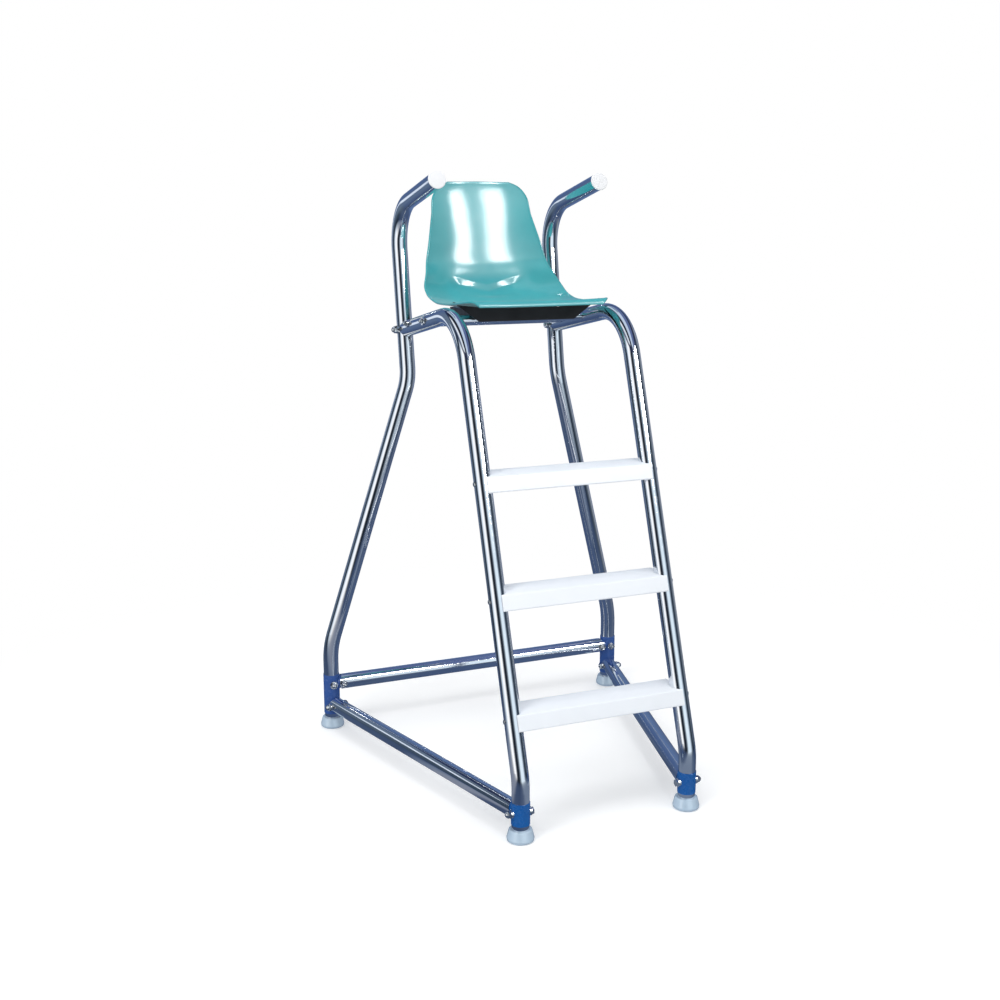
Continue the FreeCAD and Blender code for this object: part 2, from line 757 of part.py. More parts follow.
tread_bolts = []
tread_nuts = []
NUT_GAP = (RAIL_X - evaluate(TREAD_LENGTH) / 2 + size("tread_end_block"))
for number, name in enumerate(("lower", "middle", "upper")):
    height = tread_heights[number]
    tread = notched_tread("tread_" + name)
    tread.Placement = Placement(Vector(0, rail_y(height), height), Rotation())
    keep("tread_" + name, tread)
    level = height - TREAD_MIDDLE
    for side, sign in SIDES:
        inward = Vector(-sign, 0, 0)
        middle = Vector(sign * RAIL_X, rail_y(level), level)
        turn = towards(Vector(0, 0, 0), inward)
        tread_bolts.append(copy_at("tread_bolt_%s_%s" % (name, side), tread_bolt,
                                   Placement(middle - inward * (TUBE_R + GAP), turn)))
        bore = cylinder("tread_nut_bore_%s_%s" % (name, side),
                        "Sizes.tread_bolt_dia / 2 + Sizes.fit_gap", middle,
                        middle + inward * REACH)
        tread_nuts.append(hex_nut("tread_nut_%s_%s" % (name, side),
                                  middle + inward * (NUT_GAP + GAP), inward,
                                  "Sizes.tread_bolt_head", "Sizes.tread_bolt_dia * 0.8", bore))
keep("tread_bolts", group("tread_bolt_group", tread_bolts))
keep("tread_nuts", group("tread_nut_group", tread_nuts))

keep("joint_bolts", group("joint_bolt_group", bolts))
keep("joint_nuts", group("joint_nut_group", nuts))
keep("joint_washers", group("joint_washer_group", washers))
keep("tube_inserts", group("tube_insert_group", inserts))


# Seat risers: channels on the two seat bars, level on top, with an apron across their fronts

BOSS_LEVEL = "(Sizes.seat_pan_level - Sizes.seat_boss_drop)"
RISER_TOP = "(%s - Sizes.pad_height)" % BOSS_LEVEL
RISER_FRONT = "Sizes.apron_back + Sizes.fit_gap"
HOLES = (("front", "Sizes.front_hole_back"), ("rear", "Sizes.rear_hole_back"))

for side, sign in SIDES:
    name = "seat_riser_" + side
    body = doc.addObject("PartDesign::Body", name)
    profile = new_sketch(body, name + "_side", "YZ_Plane")
    outline(profile, [(RISER_FRONT, RISER_TOP),
                      ("Sizes.riser_back", RISER_TOP),
                      ("Sizes.riser_back", "-Sizes.rear_bar_drop"),
                      ("Sizes.front_bar_back - Sizes.seat_bar_od", "-Sizes.front_bar_drop"),
                      (RISER_FRONT, RISER_TOP + " - Sizes.seat_bar_od / 2")])
    padded(body, name + "_blank", profile, "Sizes.riser_width", midplane=True)
    channel = new_sketch(body, name + "_channel_shape", "YZ_Plane")
    under = RISER_TOP + " - Sizes.riser_plate"
    outline(channel, [(RISER_FRONT + " - 1", under), ("Sizes.riser_back + 1", under),
                      ("Sizes.riser_back + 1", "-Sizes.rear_bar_drop - Sizes.riser_width"),
                      (RISER_FRONT + " - 1", "-Sizes.rear_bar_drop - Sizes.riser_width")])
    opened = body.newObject("PartDesign::Pocket", name + "_channel")
    opened.Profile = channel
    opened.setExpression("Length", "Sizes.riser_width - 2 * Sizes.riser_plate")
    opened.Midplane = True
    saddles = new_sketch(body, name + "_saddle_shape", "YZ_Plane")
    for bar in ("front", "rear"):
        circle(saddles, "Sizes.%s_bar_back" % bar, "-Sizes.%s_bar_drop" % bar,
               "Sizes.seat_bar_od / 2 + Sizes.fit_gap")
    seated = body.newObject("PartDesign::Pocket", name + "_saddles")
    seated.Profile = saddles
    seated.setExpression("Length", "Sizes.riser_width + 2")
    seated.Midplane = True
    holes = new_sketch(body, name + "_hole_shape", "XY_Plane")
    for where, back in HOLES:
        circle(holes, "0", back, "3.5")
    drilled = body.newObject("PartDesign::Pocket", name + "_holes")
    drilled.Profile = holes
    drilled.Length = size("seat_bar_od") * 2
    drilled.Midplane = True
    body.Placement = Placement(seat_point(sign * size("riser_offset"), 0, 0), Rotation())
    keep(name, body)


# Pads and bolts between the risers and the seat's bosses

SEAT_BOLT = 6
SEAT_BOLT_GRIP = 6
doc.recompute()
boss_level = evaluate(BOSS_LEVEL)
pad_height = size("pad_height")
plate = size("riser_plate")
seat_bolt = domed_bolt("seat_bolt_master", "%d" % SEAT_BOLT, "10", "4",
                       "Sizes.riser_plate + Sizes.pad_height + %d" % SEAT_BOLT_GRIP)
doc.recompute()

pads = []
seat_bolts = []
bosses = []
boss_holes = []
for side, sign in SIDES:
    for where, back in HOLES:
        name = "%s_%s" % (where, side)
        foot = seat_point(sign * size("riser_offset"), evaluate(back), boss_level)
        pad = cylinder("pad_blank_" + name, "Sizes.seat_boss_dia / 2 - 2",
                       foot - UP * pad_height, foot)
        hole = cylinder("pad_hole_" + name, "3 + Sizes.fit_gap",
                        foot - UP * pad_height * 2, foot + UP * (SEAT_BOLT_GRIP + 0.5))
        pads.append(cut("pad_" + name, pad, hole))
        seat_bolts.append(copy_at("seat_bolt_" + name, seat_bolt,
                                  Placement(foot - UP * (pad_height + plate), Rotation())))
        boss_holes.append(hole)
        bosses.append(cylinder("boss_" + name, "Sizes.seat_boss_dia / 2", foot,
                               foot + UP * (size("seat_boss_dia") + size("seat_boss_drop"))))
keep("seat_pads", group("seat_pad_group", pads))
keep("seat_bolts", group("seat_bolt_group", seat_bolts))


# Seat shell: a bucket lofted through cross sections from the front lip to the top of the back.
# Each station gives the middle of the seat (distance back and height from the corner where
# rail and arm meet, height counted from the pan), the tilt of the section towards the front
# in degrees, the half width as a share of the widest, and the height of its raised sides.

STATIONS = (
    (16, 5, 85, 0.40, 1),
    (17.5, 16, 60, 0.46, 2),
    (25, 23, 30, 0.56, 3),
    (42, 24, 5, 0.70, 6),
    (75, 18, -8, 0.84, 12),
    (125, 8, -7, 0.95, 21),
    (200, 0, -2, 1.00, 28),
    (290, 0, 6, 1.00, 33),
    (355, 10, 30, 1.00, 37),
    (405, 34, 52, 0.96, 44),
    (434, 65, 56, 0.89, 42),
    (452, 107, 67, 0.842, 31),
    (470, 177, 80, 0.776, 29),
    (489, 257, 78, 0.693, 21),
    (503, 322, 86, 0.627, 13),
    (507, 335, 87, 0.58, 10),
    (509.5, 346, 88, 0.51, 7),
    (510.5, 353, 88, 0.42, 4),
)
# share of the half width, share of the raised height
SECTION = ((0, 0), (0.35, 0.03), (0.65, 0.2), (0.86, 0.66), (1.0, 1.0))


def skin(station, depth):
    """Points across one station, at a depth below the face that is sat on."""
    back, up, tilt, share, raised = station
    middle = seat_point(0, back, up + size("seat_pan_level"))
    lift = Vector(0, -math.sin(math.radians(tilt)), math.cos(math.radians(tilt)))
    half = size("seat_half_width") * share
    flat = [(half * across, raised * rise) for across, rise in SECTION]
    flat = [(-across, rise) for across, rise in reversed(flat[1:])] + flat
    last = len(flat) - 1
    points = []
    for index, (across, rise) in enumerate(flat):
        before = flat[max(index - 1, 0)]
        after = flat[min(index + 1, last)]
        run = Vector(after[0] - before[0], after[1] - before[1], 0).normalize()
        points.append(middle + Vector(across + run.y * depth, 0, 0)
                      + lift * (rise - run.x * depth))
    return points


def curve(points):
    spline = Part.BSplineCurve()
    spline.interpolate(points)
    return spline.toShape()


def line(start, end):
    return Part.LineSegment(start, end).toShape()


def shell_wire(station):
    """Closed outline of the shell: inner face, rim, outer face, rim."""
    inner = skin(station, 0)
    outer = skin(station, size("seat_wall"))
    return Part.Wire([curve(inner), line(inner[-1], outer[-1]), curve(outer),
                      line(outer[0], inner[0])])


def middle_wire(station):
    """Open line along the middle of the wall, away from the raised sides."""
    return Part.Wire([curve(skin(station, size("seat_wall") / 2)[2:-2])])


def lofted(name, stations, wire, solid=True):
    sections = []
    for number, station in enumerate(stations):
        item = doc.addObject("Part::Feature", "%s_section_%02d" % (name, number))
        item.Shape = wire(station)
        sections.append(item)
    loft = doc.addObject("Part::Loft", name)
    loft.Sections = sections
    loft.Solid = solid
    loft.Ruled = False
    return loft


# Apron: a plate that closes the space under the seat's front, cut to follow the shell
FRONT_STATION = [row for row in STATIONS if row[0] == size("apron_back")][0]
under_shell = FRONT_STATION[:2] + (0,) + FRONT_STATION[3:]
top_edge = skin(under_shell, size("seat_wall") + 1)
corners = [seat_point(sign * size("apron_bottom_width") / 2, size("apron_back"),
                      -size("apron_bottom")) for side, sign in SIDES]
apron_outline = doc.addObject("Part::Feature", "apron_outline")
apron_outline.Shape = Part.Face(Part.Wire([curve(top_edge), line(top_edge[-1], corners[1]),
                                           line(corners[1], corners[0]),
                                           line(corners[0], top_edge[0])]))
apron = doc.addObject("Part::Extrusion", "apron_plate")
apron.Base = apron_outline
apron.Dir = Vector(0, -1, 0)
apron.setExpression("LengthFwd", "Sizes.riser_plate")
keep("seat_apron", apron)

bowl = lofted("seat_bowl", STATIONS, shell_wire)
middle_of_wall = lofted("seat_wall_middle", STATIONS[4:10], middle_wire, solid=False)
room = doc.addObject("Part::Extrusion", "room_above_wall")
room.Base = middle_of_wall
room.Dir = UP
room.setExpression("LengthFwd", "Sizes.seat_half_width")
whole = doc.addObject("Part::MultiFuse", "seat_with_bosses")
whole.Shapes = [bowl] + [cut("trimmed_" + boss.Name, boss, room) for boss in bosses]
keep("seat_shell", cut_all("seat_shell_finished", whole, boss_holes))

doc.recompute()


# Checks and export

for item in doc.Objects:
    if "Invalid" in item.State or "Error" in item.State:
        raise RuntimeError("%s failed: %s" % (item.Name, item.State))
os.makedirs("parts", exist_ok=True)
for name, item in nodes.items():
    if item.Shape.isNull() or not item.Shape.isValid():
        raise RuntimeError("%s has no valid shape" % name)
for name, item in nodes.items():
    item.Shape.exportStep(os.path.join("parts", name + ".step"))
    print("%-24s %2d solids %12.0f mm3" % (name, len(item.Shape.Solids), item.Shape.Volume))
print("%d nodes" % len(nodes))
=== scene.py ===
import json
import math

import bmesh
import bpy
import numpy as np
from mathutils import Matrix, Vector


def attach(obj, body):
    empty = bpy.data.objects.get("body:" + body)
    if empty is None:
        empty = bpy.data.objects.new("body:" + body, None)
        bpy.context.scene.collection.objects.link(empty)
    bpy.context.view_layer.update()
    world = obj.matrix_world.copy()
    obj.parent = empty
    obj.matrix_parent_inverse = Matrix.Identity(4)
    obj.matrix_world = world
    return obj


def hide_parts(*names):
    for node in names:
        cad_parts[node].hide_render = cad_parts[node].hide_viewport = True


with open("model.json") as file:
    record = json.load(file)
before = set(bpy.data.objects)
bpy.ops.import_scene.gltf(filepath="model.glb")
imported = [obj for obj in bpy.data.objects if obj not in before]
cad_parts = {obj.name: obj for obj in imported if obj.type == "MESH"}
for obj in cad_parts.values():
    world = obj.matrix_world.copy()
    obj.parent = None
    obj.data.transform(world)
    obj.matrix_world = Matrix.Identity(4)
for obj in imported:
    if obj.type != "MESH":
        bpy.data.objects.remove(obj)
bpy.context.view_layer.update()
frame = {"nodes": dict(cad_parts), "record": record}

NODES = frame["nodes"]
MM = 0.001


# Material helpers

class Shader:
    """A node material under construction."""

    def __init__(self, name):
        self.material = bpy.data.materials.new(name)
        self.material.use_nodes = True
        self.tree = self.material.node_tree
        self.surface = self.tree.nodes["Principled BSDF"]
        self.place = self.add("ShaderNodeTexCoord").outputs["Object"]

    def add(self, kind, **settings):
        node = self.tree.nodes.new(kind)
        for key, value in settings.items():
            setattr(node, key, value)
        return node

    def link(self, start, end):
        self.tree.links.new(start, end)

    def fix(self, **values):
        """Plain values on the surface's own sockets."""
        for name, value in values.items():
            self.surface.inputs[name.replace("_", " ")].default_value = value
        return self

    def noise(self, scale, detail=2.0):
        """Noise with so many features per metre."""
        noise = self.add("ShaderNodeTexNoise")
        noise.inputs["Scale"].default_value = scale
        noise.inputs["Detail"].default_value = detail
        self.link(self.place, noise.inputs["Vector"])
        return noise.outputs["Fac"]

    def ramp(self, factor, *stops):
        """Colours or greys along a factor, as (position, colour) pairs."""
        ramp = self.add("ShaderNodeValToRGB")
        elements = ramp.color_ramp.elements
        while len(elements) < len(stops):
            elements.new(0.5)
        for element, (position, colour) in zip(elements, stops):
            element.position = position
            if not hasattr(colour, "__len__"):
                colour = (colour, colour, colour)
            element.color = (*colour, 1)
        self.link(factor, ramp.inputs["Fac"])
        return ramp.outputs["Color"]

    def colour(self, output):
        """The surface's own colour."""
        self.link(output, self.surface.inputs["Base Color"])
        return self

    def roughness(self, output):
        """The surface's roughness."""
        self.link(output, self.surface.inputs["Roughness"])
        return self

    def bump(self, height, distance):
        """Relief of a height output, in metres."""
        bump = self.add("ShaderNodeBump")
        bump.inputs["Strength"].default_value = 1
        bump.inputs["Distance"].default_value = distance
        self.link(height, bump.inputs["Height"])
        self.link(bump.outputs["Normal"], self.surface.inputs["Normal"])
        return self


def polished_steel():
    """Drawn stainless tube, polished, with faint smears."""
    shader = Shader("polished_steel")
    smears = shader.noise(14, 3)
    shader.colour(shader.ramp(smears, (0.3, (0.78, 0.81, 0.86)), (0.7, (0.86, 0.88, 0.92))))
    shader.roughness(shader.ramp(shader.noise(60, 4), (0.35, 0.05), (0.7, 0.12)))
    shader.bump(shader.noise(220), 0.00001)
    return shader.fix(Metallic=1.0).material


def bright_hardware():
    """Bright steel of bolts, nuts, washers and the inserts, a little duller than the tube."""
    shader = Shader("bright_hardware")
    shader.colour(shader.ramp(shader.noise(90), (0.3, (0.66, 0.66, 0.66)), (0.7, (0.84, 0.84, 0.83))))
    shader.roughness(shader.ramp(shader.noise(300, 3), (0.3, 0.12), (0.7, 0.24)))
    shader.bump(shader.noise(700), 0.00002)
    return shader.fix(Metallic=1.0).material


def moulded(name, dark, light, gloss, grain, specular=0.5, **layers):
    """Moulded plastic, rubber or paint with a faint flow mottle and a fine grain.

    The colour runs from dark to light, the roughness over the two ends of gloss, and grain
    is the depth of the fine relief in metres.
    """
    shader = Shader(name)
    shader.colour(shader.ramp(shader.noise(9, 3), (0.3, dark), (0.7, light)))
    low, high = gloss
    shader.roughness(shader.ramp(shader.noise(45, 3), (0.3, low), (0.7, high)))
    shader.bump(shader.noise(900), grain)
    return shader.fix(Specular_IOR_Level=specular, **layers).material


# clear coats: a strong one that darkens the feet's edges, and the seat's gloss
WET_LOOK = {"Coat_Weight": 1.0, "Coat_Roughness": 0.12, "Coat_IOR": 1.9}
SEAT_GLOSS = {"Coat_Weight": 1.0, "Coat_Roughness": 0.14, "Sheen_Weight": 0.3, "Sheen_Roughness": 0.4}
FINISHES = {
    "tube": polished_steel(),
    "hardware": bright_hardware(),
    "insert": bright_hardware(),
    # painted shade: the bracket pieces under the seat are near black, standing in for the deep shade
    # under the seat's front lip
    "bracket": moulded("bracket_painted_shade", (0.005, 0.005, 0.006), (0.010, 0.010, 0.012),
                       gloss=(0.3, 0.42), grain=0.00003, specular=0.25),
    "sleeve": moulded("blue_sleeve", (0.002, 0.085, 0.33), (0.004, 0.115, 0.40),
                      gloss=(0.22, 0.32), grain=0.00002),
    "tread": moulded("white_tread", (0.83, 0.87, 0.92), (0.86, 0.90, 0.95),
                     gloss=(0.35, 0.5), grain=0.00006),
    "seat": moulded("teal_seat", (0.012, 0.33, 0.365), (0.018, 0.36, 0.39),
                    gloss=(0.44, 0.52), grain=0.00001, specular=0.7, **SEAT_GLOSS),
    "foot": moulded("pale_foot", (0.48, 0.62, 0.76), (0.53, 0.67, 0.80),
                    gloss=(0.35, 0.5), grain=0.00005, **WET_LOOK),
    "plug": moulded("white_plug", (0.78, 0.79, 0.81), (0.81, 0.82, 0.84),
                    gloss=(0.5, 0.6), grain=0.00004, specular=0.15),
    "pad": moulded("black_pad", (0.012, 0.012, 0.014), (0.02, 0.02, 0.022),
                   gloss=(0.5, 0.65), grain=0.0001),
}
# painted shade: the rear sleeves are the same part as the front sleeves, but get a greyer, duller copy of
# the sleeve blue that stands in for how the light falls on them at the back
REAR_SLEEVE_SHADED_BLUE = moulded("rear_sleeve_shaded_blue", (0.030, 0.085, 0.30), (0.038, 0.105, 0.35),
                      gloss=(0.2, 0.3), grain=0.00002)


def finish(item, material):
    """One material for a whole CAD node."""
    item.data.materials.clear()
    item.data.materials.append(material)


# the rear sleeves take the painted-shade copy of the sleeve blue instead of their own sleeve finish
for row in frame["record"]["subparts"]:
    rear = row["node"].startswith("leg_sleeve_rear")
    finish(NODES[row["node"]], REAR_SLEEVE_SHADED_BLUE if rear else FINISHES[row["material_slot"]])


# Seat shell: the lofted bucket with a rolled rim, a creased lower back and four bosses

# where the front rails' straight lines meet the arms' lines, and the pan's middle under that
CORNER_Y = -61.76
CORNER_Z = 1366
PAN_LEVEL = -7
HALF_WIDTH = 223.5
WALL = 5
# the rim's bead: half its thickness, its reach as a share of that, and the parts of its arc
BEAD = 3.6
BEAD_REACH = 1.4
RIM_STEPS = 7
# angles in degrees at which the front and top ends round off
END_ANGLES = (30, 60, 80)
ROWS = 132
COLUMNS = 72
# how much closer the columns lie towards the rims: 0 is even
COLUMN_BEND = 0.8
# middle of each cross section as distance back and height, tilt, half width share, raised sides
STATIONS = np.array((
    (16, 14, 85, 0.84, 1), (17.5, 20, 60, 0.87, 1.5), (24, 26, 30, 0.905, 2.5), (42, 25, 4, 0.945, 4),
    (75, 18, -8, 0.975, 7), (125, 8, -7, 0.99, 11), (200, 0, -2, 1.00, 14),
    (290, 0, 6, 1.00, 18), (355, 10, 30, 1.00, 27), (405, 34, 52, 0.98, 38),
    (434, 65, 56, 0.92, 42), (452, 107, 67, 0.875, 31), (470, 177, 80, 0.806, 29),
    (489, 257, 78, 0.72, 21), (502.5, 326, 83, 0.65, 16.5), (504.2, 341, 86, 0.60, 14),
    (505.2, 353, 88, 0.53, 11), (505.6, 361, 88, 0.44, 7.5)))
# how the raised sides rise from the middle to the rim, as shares of both
SECTION = np.array(((0, 0), (0.35, 0.03), (0.65, 0.2), (0.86, 0.66), (1.0, 1.0)))
# the back is hollowed a little more evenly than the pan, between two heights
BACK_START, BACK_FULL, BACK_BLEND = 1398, 1476, 0.85
# a crease shaped like a shallow V across the lower back, with a steep face under it
CREASE_Z, CREASE_RISE, CREASE_HALF = 1412, 0.235, 108
# it fades out sideways over these shares of its half width, and exists only behind these depths
CREASE_FADE = (0.75, 1.2)
CREASE_UPRIGHT = (300, 335)
# distance under the crease and how far the face is set back there, with level ends
CREASE = np.array(((0, 0), (3, 1.14), (6, 2.46), (9, 3.91), (12, 5.58), (15, 7.4),
                   (19, 7.92), (25, 7.55), (34, 5.33), (44, 2.52), (54, 0.59), (62, 0)))
# closer rows where the crease runs, by distance along the middle of the seat, and the room
# kept between them and the other rows
CREASE_START, CREASE_END, CREASE_ROWS, CREASE_MARGIN = 372, 478, 72, 3

# bosses under the pan, over the risers: share of the radius and height over the foot
RISER_X = 110
BOSS_BACK = (190, 330)
BOSS_FOOT = CORNER_Z + PAN_LEVEL - 7
BOSS_RADIUS = 18
BOSS_SIDES = 40
BOSS_PROFILE = ((0.24, 9), (0.24, 0), (0.94, 0), (1.0, 0.8), (1.06, 8.5))
# edges sharper than this are drawn sharp, in degrees
SHARP_ANGLE = 50


def through(places, values, wanted):
    """Smooth curve through values at places, read at the wanted places."""
    slopes = np.gradient(values, places, axis=0)
    index = np.clip(np.searchsorted(places, wanted) - 1, 0, len(places) - 2)
    width = places[index + 1] - places[index]
    t = (wanted - places[index]) / width
    if values.ndim > 1:
        t, width = t[:, None], width[:, None]
    before, after = values[index], values[index + 1]
    return ((2 * t**3 - 3 * t**2 + 1) * before + (t**3 - 2 * t**2 + t) * width * slopes[index]
            + (3 * t**2 - 2 * t**3) * after + (t**3 - t**2) * width * slopes[index + 1])


def smooth(value, start, end):
    """From nought at start to one at end, level at both."""
    t = np.clip((value - start) / (end - start), 0, 1)
    return t * t * (3 - 2 * t)


def unit(vectors):
    """Vectors of length one, along the same lines."""
    return vectors / np.linalg.norm(vectors, axis=-1, keepdims=True)


def shell_grid():
    """Points of the face that is sat on, and its upward normals, in millimetres."""
    steps = np.hypot(np.diff(STATIONS[:, 0]), np.diff(STATIONS[:, 1]))
    travel = np.concatenate(([0], np.cumsum(steps)))
    places = np.linspace(0, travel[-1], ROWS)
    places = np.concatenate((places[places < CREASE_START - CREASE_MARGIN],
                             np.linspace(CREASE_START, CREASE_END, CREASE_ROWS),
                             places[places > CREASE_END + CREASE_MARGIN]))
    rows = through(travel, STATIONS, places)
    quarter = math.pi / 2
    share = (np.sin(np.linspace(-quarter, quarter, COLUMNS) * COLUMN_BEND)
             / math.sin(quarter * COLUMN_BEND))
    rise = through(SECTION[:, 0], SECTION[:, 1], np.abs(share))
    back, up, tilt, half, raised = (column[:, None] for column in rows.T)
    middle_z = CORNER_Z + PAN_LEVEL + up
    even = smooth(middle_z, BACK_START, BACK_FULL) * BACK_BLEND
    lift = raised * (rise + even * (share**2 - rise))
    tilt = np.radians(tilt)
    grid = np.stack((half * HALF_WIDTH * share,
                     CORNER_Y + back - np.sin(tilt) * lift,
                     middle_z + np.cos(tilt) * lift), axis=-1)
    normals = unit(np.cross(np.gradient(grid, axis=1), np.gradient(grid, axis=0)))
    across, height = np.abs(grid[..., 0]), grid[..., 2]
    below = CREASE_Z + CREASE_RISE * across - height
    depth = through(CREASE[:, 0], CREASE[:, 1], np.clip(below, 0, CREASE[-1, 0]).ravel())
    fade = 1 - smooth(across, *(CREASE_HALF * part for part in CREASE_FADE))
    upright = smooth(grid[..., 1], *CREASE_UPRIGHT)
    return grid - normals * (depth.reshape(below.shape) * fade * upright)[..., None], normals


def rim_arc(edge, outward, normal):
    """Rolled rim: a bead that starts on the sat face and ends under the shell."""
    centre = edge - normal * WALL / 2
    angles = [math.pi * step / RIM_STEPS for step in range(1, RIM_STEPS)]
    return [centre + outward * math.sin(angle) * BEAD * BEAD_REACH + normal * math.cos(angle) * BEAD
            for angle in angles]


def seat_loops():
    """Closed loops round the shell's wall, front to top."""
    loops = []
    for points, ups in zip(*shell_grid()):
        right, left = unit(points[-1] - points[-2]), unit(points[0] - points[1])
        under = points - ups * WALL
        loops.append(list(points) + rim_arc(points[-1], right, ups[-1]) + list(under[::-1])
                     + rim_arc(points[0], left, ups[0])[::-1])
    return np.array(loops)


def add_skin(bm, rings):
    """Four-sided faces between rings of points in metres. Gives back the rings' vertices."""
    verts = [[bm.verts.new(point) for point in ring] for ring in rings]
    count = len(verts[0])
    for before, after in zip(verts, verts[1:]):
        for i in range(count):
            j = (i + 1) % count
            bm.faces.new((before[i], before[j], after[j], after[i]))
    return verts


def circle(x, y, z, radius, sides):
    """Points round an upright line, in the unit that the numbers are in."""
    turns = [2 * math.pi * k / sides for k in range(sides)]
    return [Vector((x + radius * math.cos(turn), y + radius * math.sin(turn), z)) for turn in turns]


def build_seat():
    """The bucket's closed skin, with its front and top ends rounded off."""
    loops = seat_loops()
    count = loops.shape[1]
    # each point's partner lies across the wall
    partner = [(2 * COLUMNS + RIM_STEPS - 2 - i) % count for i in range(count)]
    first, last = [], []
    for angle in END_ANGLES:
        a = math.radians(angle)
        for rows, outer, inner in ((first, 0, 1), (last, -1, -2)):
            ring = loops[outer]
            away = unit(ring - loops[inner])
            middle = (ring + ring[partner]) / 2
            rows.append(middle + (ring - middle) * math.cos(a) + away * math.sin(a) * WALL / 2)
    rings = first[::-1] + list(loops) + last
    bm = bmesh.new()
    verts = add_skin(bm, [[Vector(point) * MM for point in ring] for ring in rings])
    bm.faces.new(verts[0][::-1])
    bm.faces.new(verts[-1])
    return bm


def add_boss(bm, x, y):
    """A hollowed round boss from its foot up into the shell's wall."""
    rings = add_skin(bm, [[point * MM for point in circle(x, y, BOSS_FOOT + height, BOSS_RADIUS * share,
                                                          BOSS_SIDES)]
                          for share, height in BOSS_PROFILE])
    bm.faces.new(rings[0])
    bm.faces.new(rings[-1][::-1])


def object_of(name, bm, material):
    """A mesh object in the scene, made of a bmesh that is used up."""
    mesh = bpy.data.meshes.new(name)
    bm.to_mesh(mesh)
    bm.free()
    mesh.materials.append(material)
    item = bpy.data.objects.new(name, mesh)
    bpy.context.collection.objects.link(item)
    return item


seat_bm = build_seat()
for back in BOSS_BACK:
    for x in (-RISER_X, RISER_X):
        add_boss(seat_bm, x, CORNER_Y + back)
bmesh.ops.recalc_face_normals(seat_bm, faces=seat_bm.faces)
seat = object_of("seat_bucket", seat_bm, FINISHES["seat"])
seat.data.shade_smooth()
seat.data.set_sharp_from_angle(angle=math.radians(SHARP_ANGLE))
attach(seat, "root")
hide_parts("seat_shell")


# Studio: pale floor, a room that only glossy reflections see, and soft lamps

CAMERA_AZIMUTH = -22.73
FLOOR_SIZE = 60
# light the floor gives off towards the camera only
FLOOR_GLOW = 0.24
# distance from the chair over which the floor turns plain white
FLOOR_FADE = (0.9, 2.2)


def from_chair(centre, azimuth, elevation, distance):
    """A place seen from a point of the chair. Azimuth turns from straight ahead of it to +X."""
    turn, lift = math.radians(azimuth), math.radians(elevation)
    return Vector((math.sin(turn) * math.cos(lift), -math.cos(turn) * math.cos(lift),
                   math.sin(lift))) * distance + centre


def maths(tree, operation, *values):
    """A maths node over numbers or outputs."""
    node = tree.nodes.new("ShaderNodeMath")
    node.operation = operation
    for index, value in enumerate(values):
        if isinstance(value, (int, float)):
            node.inputs[index].default_value = value
        else:
            tree.links.new(value, node.inputs[index])
    return node.outputs[0]


def between(tree, value, start, end, low, high):
    """A value carried smoothly from one range to another."""
    node = tree.nodes.new("ShaderNodeMapRange")
    node.interpolation_type = "SMOOTHSTEP"
    for name, number in (("From Min", start), ("From Max", end), ("To Min", low), ("To Max", high)):
        node.inputs[name].default_value = number
    tree.links.new(value, node.inputs["Value"])
    return node.outputs["Result"]


def window(tree, value, start, end, edge):
    """One between two ends, nought outside them, with soft edges."""
    return maths(tree, "MULTIPLY", between(tree, value, start, start + edge, 0, 1),
                 between(tree, value, end - edge, end, 1, 0))


def position_of(tree):
    """World place of the shaded point, as separate outputs."""
    geometry = tree.nodes.new("ShaderNodeNewGeometry")
    parts = tree.nodes.new("ShaderNodeSeparateXYZ")
    tree.links.new(geometry.outputs["Position"], parts.inputs["Vector"])
    return parts.outputs


def reach_of(tree, place):
    """Distance of the shaded point from the chair's upright middle line."""
    squares = maths(tree, "ADD", maths(tree, "MULTIPLY", place["X"], place["X"]),
                    maths(tree, "MULTIPLY", place["Y"], place["Y"]))
    return maths(tree, "SQRT", squares)


def floor_material():
    """Pale floor with soft shadows near the chair, plain white further out."""
    material = bpy.data.materials.new("floor")
    material.use_nodes = True
    tree = material.node_tree
    surface = tree.nodes["Principled BSDF"]
    surface.inputs["Base Color"].default_value = (0.86, 0.87, 0.88, 1)
    surface.inputs["Roughness"].default_value = 0.9
    surface.inputs["Specular IOR Level"].default_value = 0.1
    surface.inputs["Emission Color"].default_value = (1, 1, 1, 1)
    rays = tree.nodes.new("ShaderNodeLightPath")
    tree.links.new(maths(tree, "MULTIPLY", rays.outputs["Is Camera Ray"], FLOOR_GLOW),
                   surface.inputs["Emission Strength"])
    white = tree.nodes.new("ShaderNodeEmission")
    blend = tree.nodes.new("ShaderNodeMixShader")
    far = between(tree, reach_of(tree, position_of(tree)), *FLOOR_FADE, 0, 1)
    tree.links.new(maths(tree, "MULTIPLY", far, rays.outputs["Is Camera Ray"]),
                   blend.inputs["Fac"])
    tree.links.new(surface.outputs[0], blend.inputs[1])
    tree.links.new(white.outputs[0], blend.inputs[2])
    tree.links.new(blend.outputs[0], tree.nodes["Material Output"].inputs["Surface"])
    return material


def floor():
    bm = bmesh.new()
    half = FLOOR_SIZE / 2
    bm.faces.new([bm.verts.new((x * half, y * half, 0)) for x, y in ((-1, -1), (1, -1), (1, 1), (-1, 1))])
    object_of("floor", bm, floor_material())


floor()

